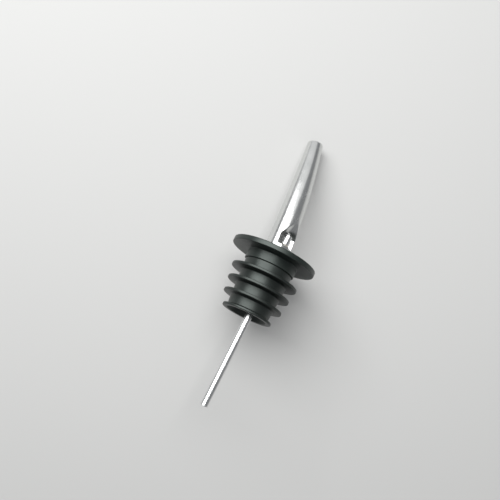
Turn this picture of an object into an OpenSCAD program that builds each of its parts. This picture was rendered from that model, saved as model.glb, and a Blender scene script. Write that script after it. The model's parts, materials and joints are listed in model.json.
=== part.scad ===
/* [Collar] */
// Diameter of the flange that rests on the bottle's mouth
flange_d = 35; // [32:0.5:36]
// Thickness of the flange
flange_t = 2.1; // [1.8:0.1:3]
// Diameter of the short neck under the flange
neck_d = 21; // [20.2:0.1:21.4]
// Height of that neck, down to the seam with the cork
neck_h = 3.8; // [3:0.1:4.5]
// Outer diameter of the hub that the cork is pushed onto
hub_d = 13.6; // [13:0.1:14]
// Length of the hub below the seam
hub_h = 12.4; // [10:0.2:13]

/* [Cork] */
// Diameter of the cork's body just under the seam
body_top_d = 19.9; // [19:0.1:20]
// Diameter of the cork's body at its lower end
body_end_d = 17.2; // [16.6:0.1:17.4]
// Wall thickness of the cork around its open lower end
cork_wall = 1.4; // [1.2:0.1:1.5]
// Diameter of the flared mouth of the cork's hollow
mouth_d = 16.6; // [15:0.1:16.8]
// Diameter of the top fin
fin_top_d = 27.8; // [26:0.2:28]
// Diameter of the lowest of the three fins
fin_low_d = 24.6; // [22.6:0.2:25]
// Thickness of a fin at its rim
fin_t = 1.1; // [0.8:0.1:1.4]
// Distance from the flange's underside down to the top fin's middle
fin_first_z = 8.1; // [7.6:0.1:8.4]
// Distance from one fin to the next
fin_pitch = 5.35; // [5:0.05:5.5]
// Diameter of the lip around the lower end
lip_d = 20.6; // [19:0.1:21]

/* [Pour spout] */
// Height of the outlet above the flange's underside
spout_top_z = 53.5; // [45:0.5:60]
// Outer diameter of the spout just above the flange
spout_d = 10.6; // [10.2:0.1:11]
// Outer diameter of the outlet
outlet_d = 6.5; // [5.5:0.1:7]
// Outer diameter of the stem that turns in the collar
stem_d = 9.4; // [9.2:0.1:9.5]
// Thickness of the sheet steel
steel_t = 0.4; // [0.3:0.05:0.45]
// Lean of the spout where it leaves the collar, in degrees
lean_start = 4; // [0:0.5:5]
// Lean of the spout at its outlet, in degrees
lean_end = 13; // [8:0.5:20]
// How strongly the taper gathers towards the outlet
taper_power = 1.7; // [1.2:0.1:2.2]

/* [Scoop] */
// Height of the shelf at the lower end of the pressed scoop
shelf_z = 6.4; // [5.8:0.1:7]
// Height where the scoop is at its full depth and width
scoop_full_z = 10.5; // [9.5:0.5:11.5]
// Height where the scoop has run out
scoop_top_z = 27; // [22:0.5:30]
// Distance from the spout's axis to the floor of the scoop
scoop_floor_x = 1.1; // [0.8:0.05:1.1]
// Half of the angle between the scoop's two rims where it is widest, in degrees
scoop_half_angle = 54; // [48:1:58]

/* [Vent tube] */
// Outer diameter of the vent tube
vent_d = 3; // [2.6:0.1:3]
// Wall thickness of the vent tube
vent_wall = 0.4; // [0.3:0.05:0.5]
// Distance from the collar's axis to the tube's axis at the shelf
vent_offset = 2.7; // [2.65:0.01:2.75]
// Lean of the tube towards the collar's axis as it goes down, in degrees
vent_tilt = 1.8; // [0:0.1:1.8]
// Height of the tube's open upper end
vent_top_z = 11; // [10:0.1:12]
// Depth of the tube's open lower end below the flange's underside
vent_end_z = 63; // [50:0.5:80]

/* [Hidden] */

// Facets of every exact round surface
round_fn = 96;
// Radial gap between the stem and the collar's bore
running_gap = 0.05;

flange_r = flange_d / 2;
// Rounding of the flange's edges, and of the rims of the fins and the lip
edge_r = 0.3;
fin_edge_r = 0.25;
corner_steps = 6;
neck_r = neck_d / 2;
hub_r = hub_d / 2;
stem_r = stem_d / 2;
bore_r = stem_r + running_gap;
seam_z = -neck_h;
hub_end_z = seam_z - hub_h;
// Barbs round the hub, which bite into the cork
barb_h = 0.35;
barb_w = 1.6;
barb_pitch = 3.6;
barb_count = 3;

body_top_r = body_top_d / 2;
body_end_r = body_end_d / 2;
fin_count = 3;
fin_root_extra = 0.5;
lip_t = 1;
lip_z = -fin_first_z - fin_count * fin_pitch;
cork_end_z = lip_z - lip_t / 2;
hollow_r = body_end_r - cork_wall;
mouth_r = mouth_d / 2;
mouth_h = 2.4;
// The hollow's roof is just under the hub
hollow_roof_z = hub_end_z - 0.6;

spout_r = spout_d / 2;
outlet_r = outlet_d / 2;
stem_end_z = hub_end_z - 1.5;
foot_r = stem_r + 0.7;
foot_t = 0.5;
// The collar's play between the shoulder above and the foot below
end_play = 0.1;
shoulder_z = flange_t + end_play;
// The round wall stops here, and the swept shell starts inside it
wall_top_z = 5;
shell_start_z = wall_top_z - 0.5;
shell_inset = 0.05;
shelf_rise = 0.6;
shell_sides = 44;
spout_rise = spout_top_z - shell_start_z;
// Rounding of the scoop's rims, and how sharply its hollow curves across, per mm
scoop_blend = 0.5;
scoop_curve = (spout_r * cos(scoop_half_angle) - scoop_floor_x) / pow(spout_r * sin(scoop_half_angle), 2);

vent_r = vent_d / 2;
vent_hole_gap = 0.05;
braze_w = 0.45;
braze_h = 0.9;

// 0 below a, 1 above b, and a smooth rise between them
function smooth_rise(a, b, z) =
    let (t = min(1, max(0, (z - a) / (b - a))))
    t * t * (3 - 2 * t);

// Share of the way up the shell, 0 at its start and 1 at the outlet
function share(z) = min(1, max(0, (z - shell_start_z) / spout_rise));

// Lean of the spout's centre line, and how far it has moved in x, at height z
function lean(z) = lean_start + (lean_end - lean_start) * share(z);
function centre_x(z) =
    let (t = share(z), a = tan(lean_start), b = tan(lean_end))
    spout_rise * (a * t + (b - a) * t * t / 2);

// Radius of the round tapered shell
function taper_r(z) = spout_r - (spout_r - outlet_r) * pow(share(z), taper_power);

// Distance from the centre line to the scoop's floor at height z, outside; it runs out past the round
function scoop_floor(z) =
    let (
        t = min(1, max(0, (z - scoop_full_z) / (scoop_top_z - scoop_full_z))),
        past = taper_r(z) + scoop_blend
    )
    past - (past - scoop_floor_x) * pow(1 - pow(t, 1.15), 5);

// The smaller of two lengths, with a rounded change from one to the other
function soft_min(a, b, blend) =
    let (h = max(blend - abs(a - b), 0) / blend)
    min(a, b) - h * h * blend / 4;

// A point of the round shell as [towards the scoop, across]; thick is 0 outside
function round_point(r, angle) = [r * cos(angle), r * sin(angle)];

// The same point after the scoop is pressed in along x at height z
function pressed_point(z, angle, thick) =
    let (
        p = round_point(taper_r(z) - thick, angle),
        hollow = scoop_floor(z) - thick + scoop_curve * p[1] * p[1],
        pressed = soft_min(p[0], hollow, scoop_blend),
        full = smooth_rise(shelf_z - shelf_rise / 2 - thick, shelf_z + shelf_rise / 2 - thick, z)
    )
    [p[0] - (p[0] - pressed) * full, p[1]];

// Heights of the shell's rings: close together where the scoop is steep, wider above
shell_zs = [
    shell_start_z,
    wall_top_z + 0.2,
    for (i = [0:7]) shelf_z - shelf_rise / 2 - steel_t + i * (shelf_rise + steel_t) / 7,
    for (i = [1:4]) shelf_z + shelf_rise / 2 + i * (scoop_full_z - shelf_z) / 4.4,
    for (i = [1:14]) scoop_full_z + (scoop_top_z - scoop_full_z) * pow(i / 14, 1.4),
    for (i = [1:8]) scoop_top_z + i * (spout_top_z - scoop_top_z) / 8
];

// One ring of the shell, square to the centre line above the scoop's shelf
function shell_point(z, angle, thick) =
    z > shell_start_z ? pressed_point(z, angle, thick)
        : round_point(thick == 0 ? spout_r - shell_inset : spout_r - thick + shell_inset, angle);
function shell_ring(z, thick) =
    let (tip = lean(z) * smooth_rise(scoop_full_z, spout_top_z, z))
    [for (i = [0:shell_sides - 1])
        let (p = shell_point(z, 180 - 360 * i / shell_sides, thick))
        [centre_x(z) - p[0] * cos(tip), p[1], z + p[0] * sin(tip)]];

// Closed tubular solid between an outer and an inner stack of rings
module tube_between(outer, inner) {
    rings = len(outer);
    sides = len(outer[0]);
    points = [for (ring = outer) each ring, for (ring = inner) each ring];
    inner_at = rings * sides;
    function at(base, k, i) = base + k * sides + i % sides;
    faces = [
        for (k = [0:rings - 2]) for (i = [0:sides - 1]) each [
            [at(0, k, i), at(0, k + 1, i), at(0, k + 1, i + 1)],
            [at(0, k, i), at(0, k + 1, i + 1), at(0, k, i + 1)],
            [at(inner_at, k, i), at(inner_at, k, i + 1), at(inner_at, k + 1, i + 1)],
            [at(inner_at, k, i), at(inner_at, k + 1, i + 1), at(inner_at, k + 1, i)]
        ],
        for (i = [0:sides - 1]) each [
            [at(0, 0, i), at(0, 0, i + 1), at(inner_at, 0, i + 1)],
            [at(0, 0, i), at(inner_at, 0, i + 1), at(inner_at, 0, i)],
            [at(0, rings - 1, i), at(inner_at, rings - 1, i + 1), at(0, rings - 1, i + 1)],
            [at(0, rings - 1, i), at(inner_at, rings - 1, i), at(inner_at, rings - 1, i + 1)]
        ]
    ];
    polyhedron(points, faces);
}

// Places its children on the vent tube's axis, with z = 0 at the shelf
module on_vent_axis() {
    translate([-vent_offset, 0, shelf_z]) rotate([0, -vent_tilt, 0]) children();
}

// Quarter-round corner of a profile, from angle a to angle b about a centre
function corner(x, z, r, a, b) = [
    for (i = [0:corner_steps])
        let (t = a + (b - a) * i / corner_steps)
        [x + r * cos(t), z + r * sin(t)]
];

// Flange, neck and barbed hub in one hard moulding
module collar() {
    color("#2b2f2e")
    difference() {
        union() {
            rotate_extrude($fn = round_fn)
                polygon(concat(
                    [[0, 0]],
                    corner(flange_r - edge_r, edge_r, edge_r, -90, 0),
                    corner(flange_r - edge_r, flange_t - edge_r, edge_r, 0, 90),
                    [[0, flange_t]]
                ));
            translate([0, 0, seam_z])
                cylinder(r = neck_r, h = neck_h + 0.5, $fn = round_fn);
            translate([0, 0, hub_end_z])
                cylinder(r = hub_r, h = hub_h + 0.5, $fn = round_fn);
            for (i = [0:barb_count - 1])
                translate([0, 0, hub_end_z + 0.6 + i * barb_pitch])
                    cylinder(r1 = hub_r, r2 = hub_r + barb_h, h = barb_w, $fn = round_fn);
        }
        translate([0, 0, hub_end_z - 1])
            cylinder(r = bore_r, h = flange_t - hub_end_z + 2, $fn = round_fn);
    }
}

// A fin with a flat rim, thicker at its root by the given amounts above and below
module fin(z, r, thickness, above, below) {
    half = thickness / 2;
    e = fin_edge_r;
    translate([0, 0, z])
        rotate_extrude($fn = round_fn)
            polygon(concat(
                [[hollow_r + 0.5, -half - below]],
                corner(r - e, e - half, e, -90, 0),
                corner(r - e, half - e, e, 0, 90),
                [[hollow_r + 0.5, half + above]]
            ));
}

// Soft ribbed sleeve that seals in the bottle's neck, open at its lower end
module finned_cork() {
    mouth_slope = (mouth_r - hollow_r) / mouth_h;
    color("#1c1e1e")
    difference() {
        union() {
            translate([0, 0, cork_end_z])
                cylinder(r1 = body_end_r, r2 = body_top_r, h = seam_z - cork_end_z, $fn = round_fn);
            for (i = [0:fin_count - 1])
                fin(
                    -fin_first_z - i * fin_pitch,
                    (fin_top_d + (fin_low_d - fin_top_d) * i / (fin_count - 1)) / 2,
                    fin_t,
                    fin_root_extra / 2,
                    fin_root_extra / 2
                );
            fin(lip_z, lip_d / 2, lip_t, fin_root_extra / 2, 0);
        }
        translate([0, 0, hollow_roof_z])
            cylinder(r = hub_r, h = seam_z - hollow_roof_z + 1, $fn = round_fn);
        translate([0, 0, cork_end_z - 1])
            cylinder(r = hollow_r, h = hollow_roof_z - cork_end_z + 1.01, $fn = round_fn);
        translate([0, 0, cork_end_z - 0.5])
            cylinder(
                r1 = mouth_r + 0.5 * mouth_slope,
                r2 = hollow_r - 0.01,
                h = mouth_h + 0.5,
                $fn = round_fn
            );
    }
}

// Stem, shoulder and rolled foot: the exact round part of the spout
module spout_stem() {
    rotate_extrude($fn = round_fn)
        polygon([
            [stem_r - steel_t, stem_end_z],
            [foot_r, stem_end_z],
            [foot_r, stem_end_z + foot_t],
            [stem_r, hub_end_z - end_play],
            [stem_r, shoulder_z],
            [spout_r, shoulder_z],
            [spout_r, wall_top_z],
            [spout_r - steel_t, wall_top_z],
            [spout_r - steel_t, shoulder_z + steel_t],
            [stem_r - steel_t, shoulder_z + steel_t]
        ]);
}

// Tapered, leaning steel shell with the scoop pressed into its back
module pour_spout() {
    color("#c9cccb")
    difference() {
        union() {
            spout_stem();
            tube_between(
                [for (z = shell_zs) shell_ring(z, 0)],
                [for (z = shell_zs) shell_ring(z, steel_t)]
            );
        }
        on_vent_axis() translate([0, 0, -2]) cylinder(r = vent_r + vent_hole_gap, h = 5, $fn = round_fn);
    }
}

// Straight breather tube from the scoop down into the bottle
module vent_tube() {
    up = vent_top_z - shelf_z;
    down = vent_end_z + shelf_z;
    color("#d4d7d8")
    on_vent_axis()
        difference() {
            translate([0, 0, -down])
                cylinder(r = vent_r, h = up + down, $fn = round_fn);
            translate([0, 0, -down - 1])
                cylinder(r = vent_r - vent_wall, h = up + down + 2, $fn = round_fn);
        }
}

// Fillet of silver braze that joins the tube to the shelf
module vent_braze() {
    color("#b9b5a6")
    on_vent_axis()
        rotate_extrude($fn = round_fn)
            polygon([
                [vent_r, -0.2],
                [vent_r + braze_w, -0.2],
                [vent_r + braze_w, 0.25],
                [vent_r + braze_w * 0.4, 0.45],
                [vent_r, braze_h]
            ]);
}

collar();
finned_cork();
pour_spout();
vent_tube();
vent_braze();
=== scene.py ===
"""Looks of the liquor pour spout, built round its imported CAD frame."""
import json
import math

import bpy
from mathutils import Matrix, Vector, noise


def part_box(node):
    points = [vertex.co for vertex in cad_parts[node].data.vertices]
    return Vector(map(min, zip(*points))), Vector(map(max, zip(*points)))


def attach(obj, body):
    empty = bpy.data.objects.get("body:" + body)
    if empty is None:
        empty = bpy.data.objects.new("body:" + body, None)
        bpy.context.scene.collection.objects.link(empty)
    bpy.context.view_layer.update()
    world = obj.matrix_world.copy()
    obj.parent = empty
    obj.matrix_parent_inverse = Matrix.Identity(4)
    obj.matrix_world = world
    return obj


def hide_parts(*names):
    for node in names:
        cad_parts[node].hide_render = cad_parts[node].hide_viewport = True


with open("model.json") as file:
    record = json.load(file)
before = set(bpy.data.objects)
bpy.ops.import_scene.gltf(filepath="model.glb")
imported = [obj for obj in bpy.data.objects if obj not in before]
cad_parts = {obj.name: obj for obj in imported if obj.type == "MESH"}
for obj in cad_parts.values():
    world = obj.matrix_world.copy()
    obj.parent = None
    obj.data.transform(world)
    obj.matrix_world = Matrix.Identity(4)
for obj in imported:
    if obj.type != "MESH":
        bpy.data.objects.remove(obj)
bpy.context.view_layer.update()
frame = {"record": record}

MM = 0.001

# ---------------------------------------------------------------- sizes from the frame, in millimetres


def node_mm(name):
    """Lowest and highest corner of a CAD node, in millimetres."""
    low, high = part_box(name)
    return low / MM, high / MM


def mount(name):
    """Place in millimetres and axis of one of the record's mounts."""
    row = next(m for m in frame["record"]["mounts"] if m["name"] == name)
    return Vector(row["pos_m"]) / MM, Vector(row["axis"])


collar_low, collar_high = node_mm("collar")
cork_low, cork_high = node_mm("finned_cork")
spout_low = node_mm("pour_spout")[0]
outlet = mount("outlet_tip")[0]
vent_end, vent_axis = mount("vent_tube_end")

FLANGE_R = collar_high.x
FLANGE_T = collar_high.z
SEAM_Z = cork_high.z
HUB_END_Z = collar_low.z
CORK_END_Z = cork_low.z
FIN_TOP_R = cork_high.x
FOOT_R = -spout_low.x
STEM_END_Z = spout_low.z
OUTLET_Z = outlet.z

# ---------------------------------------------------------------- shape details, in millimetres

# Collar: the flat rings only keep the shading of the flange's faces flat
NECK_R = 10.5
HUB_R = 6.8
BORE_R = 4.75
BORE_CHAMFER = 0.3
EDGE_R = 0.3
FLAT_TOP_RINGS = (8.0, 12.0)
FLAT_UNDER_RING = 13.0
NECK_ROOT_R = 0.3
NECK_EDGE_R = 0.2
BARB_COUNT = 3
BARB_FIRST = 0.6
BARB_H = 0.35
BARB_W = 1.6
BARB_PITCH = 3.6
HUB_CHAMFER = 0.3

# Cork
BODY_TOP_R = 9.95
BODY_END_R = 8.6
BODY_EDGE_R = 0.25
HOLLOW_R = 7.2
ROOF_DROP = 0.6
ROOF_CHAMFER = 0.3
MOUTH_R = 8.3
MOUTH_DEPTH = 2.4
MOUTH_EDGE_R = 0.15
THROAT_STEP = 0.3
THROAT_H = 0.8
FIN_COUNT = 3
FIN_FIRST_Z = -8.1
FIN_PITCH = 5.35
FIN_LOW_R = 12.3
FIN_T = 1.1
FIN_EDGE_R = 0.25
LIP_R = 10.3
LIP_T = 1.0
ROOT_R = 0.35
ROOT_EXTRA = 0.25

# Stem, shoulder and rolled foot
STEM_R = 4.7
STEEL_T = 0.4
SHOULDER_Z = 2.2
SHOULDER_EDGE = 0.15
FOOT_T = 0.5
FOOT_EDGE = 0.2
STEM_BEVEL = 0.1

# Tapered shell and its scoop; the lean and the scoop's half angle are in degrees
SPOUT_R = 5.3
OUTLET_R = 3.25
WALL_TOP_Z = 5.0
SHELL_START_Z = 4.5
LEAN_START = 4.0
LEAN_END = 13.0
TAPER_POWER = 1.7
SHELF_Z = 6.4
SHELF_RISE = 0.6
SCOOP_FULL_Z = 10.5
SCOOP_TOP_Z = 27.0
SCOOP_FLOOR_X = 1.1
SCOOP_HALF_ANGLE = 54.0
SCOOP_BLEND = 0.5
SCOOP_EASE = 1.15
SCOOP_POWER = 5

# Vent tube: its lengths are measured along it from the shelf
VENT_R = 1.5
VENT_WALL = 0.4
VENT_CUT = 0.12
VENT_TILT = math.asin(vent_axis.x)
VENT_DOWN = (SHELF_Z - vent_end.z) / math.cos(VENT_TILT)
VENT_UP = 4.6
VENT_OFFSET = VENT_DOWN * math.sin(VENT_TILT) - vent_end.x

# Outline of the braze, as pairs of distance outside the tube and height above the shelf
BRAZE_OUTLINE = ((-0.05, -0.2), (0.5, -0.2), (0.45, 0.12), (0.2, 0.38), (0.06, 0.62), (-0.05, 0.72))
BRAZE_WOBBLE = 0.1
BRAZE_WOBBLES_PER_MM = 1.3

# ---------------------------------------------------------------- fineness of the meshes

ROUND_SIDES = 192
SHELL_SIDES = 176
PIPE_SIDES = 96
CORNER_STEPS = 6
ROOT_STEPS = 4
RIM_STEPS = 5
MOUTH_STEPS = 3
OUTLET_STEPS = 8
VENT_STEPS = 12
UNDER_SHELF_RINGS = 3
SHELF_RINGS = 24
SCOOP_RINGS = 90
UPPER_RINGS = 90

# Angles between faces above which an edge is drawn crisp, in degrees
MOULDING_CREASE = 50
SHELL_CREASE = 60
PIPE_CREASE = 30

# ---------------------------------------------------------------- mesh tools


def new_object(name, points, faces):
    """A smooth-shaded mesh object from points in millimetres."""
    mesh = bpy.data.meshes.new(name)
    mesh.from_pydata([Vector(p) * MM for p in points], [], faces)
    mesh.update()
    mesh.shade_smooth()
    obj = bpy.data.objects.new(name, mesh)
    bpy.context.scene.collection.objects.link(obj)
    return obj


def arc(x, z, r, start, end, steps=CORNER_STEPS):
    """Points of an arc about (x, z), from start to end degrees."""
    out = []
    for i in range(steps + 1):
        t = math.radians(start + (end - start) * i / steps)
        out.append((x + r * math.cos(t), z + r * math.sin(t)))
    return out


def lathe(name, profile, sides=ROUND_SIDES):
    """Turns a closed profile of (radius, z) points round Z."""
    count = len(profile)
    points = []
    for s in range(sides):
        a = 2 * math.pi * s / sides
        points += [(r * math.cos(a), r * math.sin(a), z) for r, z in profile]
    faces = []
    for s in range(sides):
        here, there = s * count, (s + 1) % sides * count
        for i in range(count):
            j = (i + 1) % count
            faces.append((here + i, there + i, there + j, here + j))
    return new_object(name, points, faces)


def skin(name, rings):
    """Joins rings with equal counts of points, and the last ring to the first."""
    sides = len(rings[0])
    faces = []
    for k in range(len(rings)):
        here, there = k * sides, (k + 1) % len(rings) * sides
        for i in range(sides):
            j = (i + 1) % sides
            faces.append((here + i, here + j, there + j, there + i))
    return new_object(name, [p for ring in rings for p in ring], faces)


def sharpen(obj, degrees):
    """Keeps edges crisp where the surface turns by more than an angle."""
    obj.data.set_sharp_from_angle(angle=math.radians(degrees))
    return obj


# ---------------------------------------------------------------- collar and cork


def make_collar():
    """Hard black flange, neck and barbed hub."""
    rim_x = FLANGE_R - EDGE_R
    profile = [(BORE_R, HUB_END_Z), (BORE_R, FLANGE_T - BORE_CHAMFER), (BORE_R + BORE_CHAMFER, FLANGE_T)]
    profile += [(r, FLANGE_T) for r in FLAT_TOP_RINGS]
    profile += arc(rim_x, FLANGE_T - EDGE_R, EDGE_R, 90, 0)
    profile += arc(rim_x, EDGE_R, EDGE_R, 0, -90)
    profile += [(FLAT_UNDER_RING, 0.0)]
    profile += arc(NECK_R + NECK_ROOT_R, -NECK_ROOT_R, NECK_ROOT_R, 90, 180, ROOT_STEPS)
    profile += arc(NECK_R - NECK_EDGE_R, SEAM_Z + NECK_EDGE_R, NECK_EDGE_R, 0, -90, ROOT_STEPS)
    profile += [(HUB_R, SEAM_Z)]
    for i in reversed(range(BARB_COUNT)):
        base = HUB_END_Z + BARB_FIRST + i * BARB_PITCH
        profile += [(HUB_R, base + BARB_W), (HUB_R + BARB_H, base + BARB_W), (HUB_R, base)]
    profile += [(HUB_R - HUB_CHAMFER, HUB_END_Z)]
    profile.reverse()
    return sharpen(lathe("collar_moulding", profile), MOULDING_CREASE)


def body_r_at(z):
    """Radius of the cork's tapering body."""
    return BODY_END_R + (BODY_TOP_R - BODY_END_R) * (z - CORK_END_Z) / (SEAM_Z - CORK_END_Z)


def fin_above(z, r, t):
    """Upper side and flat rim of a fin, out from the body above it."""
    root_z = z + t / 2 + ROOT_EXTRA + ROOT_R
    e = FIN_EDGE_R
    out = arc(body_r_at(z) + ROOT_R, root_z, ROOT_R, 180, 270, ROOT_STEPS)
    out += arc(r - e, z + t / 2 - e, e, 90, 0, RIM_STEPS)
    return out + arc(r - e, z - t / 2 + e, e, 0, -90, RIM_STEPS)


def fin_below(z, t):
    """Root of a fin's underside, back to the body below it."""
    root_z = z - t / 2 - ROOT_EXTRA - ROOT_R
    return arc(body_r_at(z) + ROOT_R, root_z, ROOT_R, 90, 180, ROOT_STEPS)


def hollow_profile():
    """Inside of the cork, from the rounded edge of its mouth up to the seam."""
    mouth_top_z = CORK_END_Z + MOUTH_DEPTH
    roof_z = HUB_END_Z - ROOF_DROP
    e = MOUTH_EDGE_R
    out = arc(MOUTH_R + e, CORK_END_Z + e, e, 270, 180, MOUTH_STEPS)
    out += [(HOLLOW_R + THROAT_STEP, mouth_top_z), (HOLLOW_R, mouth_top_z + THROAT_H)]
    return out + [(HOLLOW_R, roof_z - ROOF_CHAMFER), (HUB_R, roof_z), (HUB_R, SEAM_Z)]


def make_cork():
    """Soft sleeve with its fins, a lip and a flared open end."""
    e = BODY_EDGE_R
    profile = arc(BODY_TOP_R - e, SEAM_Z - e, e, 90, 0, ROOT_STEPS)
    for i in range(FIN_COUNT):
        z = FIN_FIRST_Z - i * FIN_PITCH
        r = FIN_TOP_R + (FIN_LOW_R - FIN_TOP_R) * i / (FIN_COUNT - 1)
        profile += fin_above(z, r, FIN_T) + fin_below(z, FIN_T)
    profile += fin_above(CORK_END_Z + LIP_T / 2, LIP_R, LIP_T)
    profile += hollow_profile()
    profile.reverse()
    return sharpen(lathe("cork_sleeve", profile), MOULDING_CREASE)


# ---------------------------------------------------------------- spout


def smooth_rise(a, b, z):
    """0 below a, 1 above b, and a smooth rise between them."""
    t = min(1.0, max(0.0, (z - a) / (b - a)))
    return t * t * (3 - 2 * t)


def share(z):
    """Share of the way up the shell."""
    return min(1.0, max(0.0, (z - SHELL_START_Z) / (OUTLET_Z - SHELL_START_Z)))


def centre_x(z):
    """How far the leaning centre line has moved in x at height z."""
    t, a, b = share(z), math.tan(math.radians(LEAN_START)), math.tan(math.radians(LEAN_END))
    return (OUTLET_Z - SHELL_START_Z) * (a * t + (b - a) * t * t / 2)


def taper_r(z):
    """Radius of the round tapered shell."""
    return SPOUT_R - (SPOUT_R - OUTLET_R) * share(z) ** TAPER_POWER


def scoop_floor(z):
    """Distance from the centre line to the scoop's floor; it runs out past the round."""
    t = min(1.0, max(0.0, (z - SCOOP_FULL_Z) / (SCOOP_TOP_Z - SCOOP_FULL_Z)))
    past = taper_r(z) + SCOOP_BLEND
    return past - (past - SCOOP_FLOOR_X) * (1 - t**SCOOP_EASE) ** SCOOP_POWER


def scoop_curve():
    """How sharply the scoop's hollow curves across, per mm."""
    half = math.radians(SCOOP_HALF_ANGLE)
    return (SPOUT_R * math.cos(half) - SCOOP_FLOOR_X) / (SPOUT_R * math.sin(half)) ** 2


def soft_min(a, b, blend):
    """The smaller of two lengths, with a rounded change from one to the other."""
    h = max(blend - abs(a - b), 0) / blend
    return min(a, b) - h * h * blend / 4


def pressed_point(z, angle, thick):
    """A point of the shell, as (towards the scoop, across); thick is 0 outside."""
    r = taper_r(z) - thick
    near, across = r * math.cos(angle), r * math.sin(angle)
    hollow = scoop_floor(z) - thick + scoop_curve() * across * across
    full = smooth_rise(SHELF_Z - SHELF_RISE / 2 - thick, SHELF_Z + SHELF_RISE / 2 - thick, z)
    return near - (near - soft_min(near, hollow, SCOOP_BLEND)) * full, across


def shell_ring(z, thick):
    """One ring of the shell, square to the centre line above the scoop."""
    tip = math.radians(LEAN_START + (LEAN_END - LEAN_START) * share(z))
    tip *= smooth_rise(SCOOP_FULL_Z, OUTLET_Z, z)
    out = []
    for i in range(SHELL_SIDES):
        near, across = pressed_point(z, math.pi - 2 * math.pi * i / SHELL_SIDES, thick)
        out.append((centre_x(z) - near * math.cos(tip), across, z + near * math.sin(tip)))
    return out


def round_ring(r, z):
    """One ring of the round stem."""
    angles = [math.radians(180 - 360 * i / SHELL_SIDES) for i in range(SHELL_SIDES)]
    return [(-r * math.cos(a), r * math.sin(a), z) for a in angles]


def steps(a, b, count):
    """count heights from a to b, without a itself."""
    return [a + (b - a) * (i + 1) / count for i in range(count)]


def shell_heights():
    """Heights of the shell's rings below the outlet, closest together round the shelf."""
    shelf_low = SHELF_Z - SHELF_RISE / 2 - STEEL_T
    shelf_high = SHELF_Z + SHELF_RISE / 2
    zs = [WALL_TOP_Z] + steps(WALL_TOP_Z, shelf_low, UNDER_SHELF_RINGS)
    zs += steps(shelf_low, shelf_high, SHELF_RINGS)
    zs += steps(shelf_high, SCOOP_TOP_Z, SCOOP_RINGS)
    return zs + steps(SCOOP_TOP_Z, OUTLET_Z, UPPER_RINGS)[:-1]


def outlet_rings():
    """Half-round edge of the outlet, from the outer wall to the inner one."""
    rim = STEEL_T / 2
    out = []
    for k in range(1, OUTLET_STEPS):
        t = math.pi * k / OUTLET_STEPS
        out.append(shell_ring(OUTLET_Z - rim + rim * math.sin(t), rim - rim * math.cos(t)))
    return out


def stem_profile():
    """Outside of the stem, from inside its rolled foot up to the shoulder's edge."""
    inner = STEM_R - STEEL_T
    out = [(inner, STEM_END_Z + STEM_BEVEL), (inner + STEM_BEVEL, STEM_END_Z)]
    out += [(FOOT_R - FOOT_EDGE, STEM_END_Z), (FOOT_R, STEM_END_Z + FOOT_EDGE)]
    out += [(FOOT_R - STEM_BEVEL, STEM_END_Z + FOOT_T), (STEM_R, HUB_END_Z - STEM_BEVEL)]
    out += [(STEM_R, SHOULDER_Z), (SPOUT_R - SHOULDER_EDGE, SHOULDER_Z)]
    return out + [(SPOUT_R, SHOULDER_Z + SHOULDER_EDGE)]


def make_spout():
    """Stem with its rolled foot, and the tapered shell with its scoop."""
    zs = shell_heights()
    step_z = SHOULDER_Z + STEEL_T
    bore = [(SPOUT_R - STEEL_T, step_z), (STEM_R - STEEL_T, step_z - STEM_BEVEL)]
    rings = [round_ring(r, z) for r, z in stem_profile()]
    rings += [shell_ring(z, 0) for z in zs]
    rings += outlet_rings()
    rings += [shell_ring(z, STEEL_T) for z in reversed(zs)]
    rings += [round_ring(r, z) for r, z in bore]
    return sharpen(skin("spout_shell", rings), SHELL_CREASE)


# ---------------------------------------------------------------- vent tube and braze


def on_vent_axis(obj):
    """Puts a mesh made about Z onto the vent tube's axis, with z = 0 at the shelf."""
    place = Matrix.Translation(Vector((-VENT_OFFSET, 0, SHELF_Z)) * MM)
    obj.data.transform(place @ Matrix.Rotation(-VENT_TILT, 4, "Y"))
    return obj


def make_vent():
    """Straight drawn tube with both ends cut square and deburred."""
    inner, cut = VENT_R - VENT_WALL, VENT_CUT
    profile = [(inner, -VENT_DOWN + cut), (inner + cut, -VENT_DOWN)]
    profile += [(VENT_R - cut, -VENT_DOWN), (VENT_R, -VENT_DOWN + cut)]
    profile += [(VENT_R, -VENT_DOWN * (1 - i / VENT_STEPS)) for i in range(1, VENT_STEPS)]
    profile += [(VENT_R, VENT_UP - cut), (VENT_R - cut, VENT_UP)]
    profile += [(inner + cut, VENT_UP), (inner, VENT_UP - cut)]
    return on_vent_axis(sharpen(lathe("vent_pipe", profile, PIPE_SIDES), PIPE_CREASE))


def make_braze():
    """Uneven fillet of braze where the tube leaves the shelf."""
    obj = lathe("braze_fillet", [(VENT_R + out, z) for out, z in BRAZE_OUTLINE], PIPE_SIDES)
    for v in obj.data.vertices:
        away = Vector((v.co.x, v.co.y, 0)).normalized()
        v.co += away * BRAZE_WOBBLE * MM * noise.noise(v.co / MM * BRAZE_WOBBLES_PER_MM)
    return on_vent_axis(obj)


# ---------------------------------------------------------------- materials

# Sizes of the patterns are in repeats per metre, and depths in metres
MOTTLE_SCALE = 260.0
CLOUD_SCALE = 90.0
GRAIN_SCALE = 4200.0
GRAIN_DEPTH = 0.00004
SMEAR_SCALE = 120.0
STREAK_SCALE = 5200.0
STREAK_STRETCH = (1, 1, 0.02)
STREAK_DEPTH = 0.00002
# The middle part of a noise's values, which a pattern is spread over
NOISE_LOW = 0.3
NOISE_HIGH = 0.7


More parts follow.
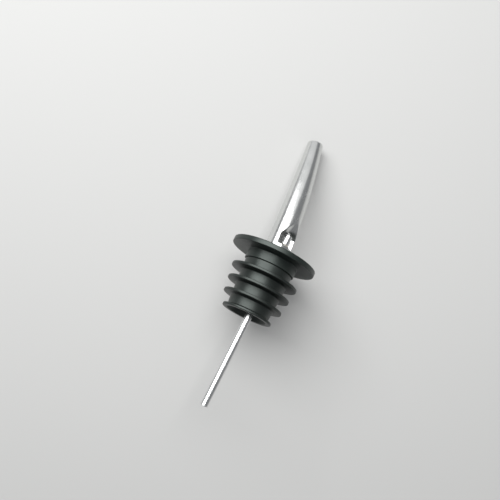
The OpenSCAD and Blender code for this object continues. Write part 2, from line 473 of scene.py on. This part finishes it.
class Nodes:
    """Small helper that adds nodes to one material."""

    def __init__(self, name):
        self.material = bpy.data.materials.new(name)
        self.material.use_nodes = True
        self.tree = self.material.node_tree
        self.shader = self.tree.nodes["Principled BSDF"]

    def add(self, kind, **values):
        node = self.tree.nodes.new(kind)
        for key, value in values.items():
            if key in node.inputs:
                node.inputs[key].default_value = value
            else:
                setattr(node, key, value)
        return node

    def link(self, a, b):
        self.tree.links.new(a, b)

    def set(self, **values):
        for key, value in values.items():
            self.shader.inputs[key.replace("_", " ")].default_value = value

    def coordinates(self, scale=(1, 1, 1)):
        """Object coordinates, stretched."""
        source = self.add("ShaderNodeTexCoord")
        mapping = self.add("ShaderNodeMapping")
        mapping.inputs["Scale"].default_value = scale
        self.link(source.outputs["Object"], mapping.inputs["Vector"])
        return mapping.outputs["Vector"]

    def noise(self, vector, scale, detail, roughness=0.55):
        node = self.add("ShaderNodeTexNoise", Scale=scale, Detail=detail, Roughness=roughness)
        self.link(vector, node.inputs["Vector"])
        return node.outputs["Fac"]

    def mean(self, a, b):
        """Mean of two values."""
        half = self.add("ShaderNodeMath", operation="MULTIPLY")
        half.inputs[1].default_value = 0.5
        both = self.add("ShaderNodeMath", operation="MULTIPLY_ADD")
        both.inputs[1].default_value = 0.5
        self.link(b, half.inputs[0])
        self.link(a, both.inputs[0])
        self.link(half.outputs[0], both.inputs[2])
        return both.outputs[0]

    def span(self, value, low, high):
        """Maps the middle part of a noise to low..high."""
        node = self.add("ShaderNodeMapRange")
        node.inputs["From Min"].default_value = NOISE_LOW
        node.inputs["From Max"].default_value = NOISE_HIGH
        node.inputs["To Min"].default_value = low
        node.inputs["To Max"].default_value = high
        self.link(value, node.inputs["Value"])
        return node.outputs["Result"]

    def blend(self, value, low, high):
        """Colour that runs from low to high over the middle part of a noise."""
        ramp = self.add("ShaderNodeValToRGB")
        ramp.color_ramp.elements[0].position = NOISE_LOW
        ramp.color_ramp.elements[1].position = NOISE_HIGH
        ramp.color_ramp.elements[0].color = (*low, 1)
        ramp.color_ramp.elements[1].color = (*high, 1)
        self.link(value, ramp.inputs["Fac"])
        return ramp.outputs["Color"]

    def bump(self, height, strength, distance):
        node = self.add("ShaderNodeBump", Strength=strength, Distance=distance)
        self.link(height, node.inputs["Height"])
        self.link(node.outputs["Normal"], self.shader.inputs["Normal"])


def black_moulding(name, low, high, rough, grain):
    """Black rubber or plastic: faint mottling, duller patches and a fine grain."""
    n = Nodes(name)
    at = n.coordinates()
    mottle = n.noise(at, MOTTLE_SCALE, detail=5.0)
    n.link(n.blend(mottle, low, high), n.shader.inputs["Base Color"])
    cloud = n.noise(at, CLOUD_SCALE, detail=3.0)
    n.link(n.span(cloud, *rough), n.shader.inputs["Roughness"])
    n.bump(n.noise(at, GRAIN_SCALE, detail=3.0), grain, GRAIN_DEPTH)
    n.set(Specular_IOR_Level=0.6, Specular_Tint=(0.90, 1.0, 0.95, 1))
    return n.material


def steel(name, low, high, rough, streak):
    """Polished metal with fine drawn streaks along Z and a little smear."""
    n = Nodes(name)
    streaks = n.noise(n.coordinates(STREAK_STRETCH), STREAK_SCALE, detail=4.0, roughness=0.6)
    smear = n.noise(n.coordinates(), SMEAR_SCALE, detail=4.0)
    n.link(n.blend(smear, low, high), n.shader.inputs["Base Color"])
    n.link(n.span(n.mean(streaks, smear), *rough), n.shader.inputs["Roughness"])
    n.bump(streaks, streak, STREAK_DEPTH)
    n.set(Metallic=1.0)
    return n.material


def dress(obj, material):
    """Gives an object one material."""
    obj.data.materials.clear()
    obj.data.materials.append(material)
    return obj


PLASTIC = black_moulding(
    "collar_plastic", low=(0.004, 0.007, 0.006), high=(0.012, 0.016, 0.014), rough=(0.38, 0.45), grain=0.25
)
RUBBER = black_moulding(
    "cork_rubber", low=(0.003, 0.005, 0.004), high=(0.011, 0.013, 0.012), rough=(0.38, 0.46), grain=0.4
)
SPOUT_STEEL = steel(
    "spout_steel", low=(0.66, 0.67, 0.66), high=(0.74, 0.745, 0.735), rough=(0.20, 0.30), streak=0.08
)
VENT_STEEL = steel(
    "vent_steel", low=(0.70, 0.71, 0.71), high=(0.78, 0.785, 0.78), rough=(0.22, 0.30), streak=0.05
)
BRAZE = steel("braze", low=(0.50, 0.47, 0.41), high=(0.66, 0.63, 0.56), rough=(0.32, 0.5), streak=0.3)

# ---------------------------------------------------------------- assembly

PIECES = (
    (make_collar, "stopper", "collar", "collar_plastic", PLASTIC),
    (make_cork, "stopper", "finned_cork", "cork_rubber", RUBBER),
    (make_spout, "spout", "pour_spout", "spout_steel", SPOUT_STEEL),
    (make_vent, "spout", "vent_tube", "vent_steel", VENT_STEEL),
    (make_braze, "spout", "vent_braze", "braze", BRAZE),
)

pieces = []
for make, body, node, slot, material in PIECES:
    piece = dress(make(), material)
    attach(piece, body)
    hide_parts(node)
    pieces.append(piece)

# ---------------------------------------------------------------- camera

# The camera looks at the scoop's side from a little below the flange, and is rolled so that the part slants.
# The origin is right of and below the middle of the picture by the last two values.
CAMERA_AZIMUTH = math.radians(142)
CAMERA_RISE = math.radians(12.5)
CAMERA_ROLL = math.radians(26)
CAMERA_DISTANCE = 322.5 * MM
CAMERA_LENS = 58.5
SENSOR_WIDTH = 36
NEAREST_SEEN = 0.01
FURTHEST_SEEN = 10
ORIGIN_RIGHT = 9.0 * MM
ORIGIN_DOWN = 3.85 * MM

towards = Vector((math.cos(CAMERA_AZIMUTH), math.sin(CAMERA_AZIMUTH), 0))
forward = Vector((0, 0, 1)) * math.sin(CAMERA_RISE) - towards * math.cos(CAMERA_RISE)
turn = forward.to_track_quat("-Z", "Y") @ Matrix.Rotation(CAMERA_ROLL, 3, "Z").to_quaternion()
right = turn @ Vector((1, 0, 0))
up = turn @ Vector((0, 1, 0))
aim = -right * ORIGIN_RIGHT + up * ORIGIN_DOWN

camera_data = bpy.data.cameras.new("camera")
camera_data.lens = CAMERA_LENS
camera_data.sensor_width = SENSOR_WIDTH
camera_data.clip_start = NEAREST_SEEN
camera_data.clip_end = FURTHEST_SEEN
camera = bpy.data.objects.new("camera", camera_data)
camera.rotation_mode = "QUATERNION"
camera.rotation_quaternion = turn
camera.location = aim - forward * CAMERA_DISTANCE
bpy.context.scene.collection.objects.link(camera)
bpy.context.scene.camera = camera

# ---------------------------------------------------------------- surface and light

# A pale surface stands square to the line of sight, just behind the part's furthest point.
SURFACE_HALF = 2.5
SURFACE_GAP = 1.0 * MM
SURFACE_COLOUR = (0.55, 0.55, 0.54, 1)
WORLD_COLOUR = (0.95, 0.97, 1.0, 1)
WORLD_STRENGTH = 0.26


def furthest_depth():
    """Depth of the part's furthest point, along the line of sight from the origin."""
    return max(v.co.dot(forward) for piece in pieces for v in piece.data.vertices)


def surface_material():
    """Plain matt grey in front, and clear behind, so that views from behind aren't blocked."""
    n = Nodes("surface")
    n.set(Base_Color=SURFACE_COLOUR, Roughness=0.7)
    side = n.add("ShaderNodeNewGeometry")
    clear = n.add("ShaderNodeBsdfTransparent")
    mix = n.add("ShaderNodeMixShader")
    n.link(side.outputs["Backfacing"], mix.inputs[0])
    n.link(n.shader.outputs[0], mix.inputs[1])
    n.link(clear.outputs[0], mix.inputs[2])
    n.link(mix.outputs[0], n.tree.nodes["Material Output"].inputs[0])
    return n.material


def make_surface():
    """Square plane that faces the camera."""
    middle = forward * (furthest_depth() + SURFACE_GAP)
    across, upward = right * SURFACE_HALF, up * SURFACE_HALF
    corners = [middle + across * a + upward * b for a, b in ((-1, -1), (1, -1), (1, 1), (-1, 1))]
    mesh = bpy.data.meshes.new("surface")
    mesh.from_pydata(corners, [], [(0, 1, 2, 3)])
    obj = bpy.data.objects.new("surface", mesh)
    bpy.context.scene.collection.objects.link(obj)
    dress(obj, surface_material())


def area_light(name, azimuth, rise, distance, size, power):
    """Soft light that faces the part, at degrees from +X and above the XY plane; metres and watts."""
    data = bpy.data.lights.new(name, "AREA")
    data.shape = "RECTANGLE"
    data.size, data.size_y = size
    data.energy = power
    obj = bpy.data.objects.new(name, data)
    a, e = math.radians(azimuth), math.radians(rise)
    away = Vector((math.cos(a) * math.cos(e), math.sin(a) * math.cos(e), math.sin(e)))
    obj.location = away * distance
    obj.rotation_mode = "QUATERNION"
    obj.rotation_quaternion = (-away).to_track_quat("-Z", "Y")
    bpy.context.scene.collection.objects.link(obj)


def make_world():
    """Even light from all round."""
    world = bpy.data.worlds.new("world")
    world.use_nodes = True
    background = world.node_tree.nodes["Background"]
    background.inputs["Color"].default_value = WORLD_COLOUR
    background.inputs["Strength"].default_value = WORLD_STRENGTH
    bpy.context.scene.world = world


make_surface()
area_light("key", azimuth=118, rise=11, distance=0.6, size=(0.80, 0.36), power=5.9)
area_light("overhead", azimuth=112, rise=50, distance=0.6, size=(0.9, 0.3), power=0.42)
make_world()

bpy.context.scene.view_settings.view_transform = "Standard"
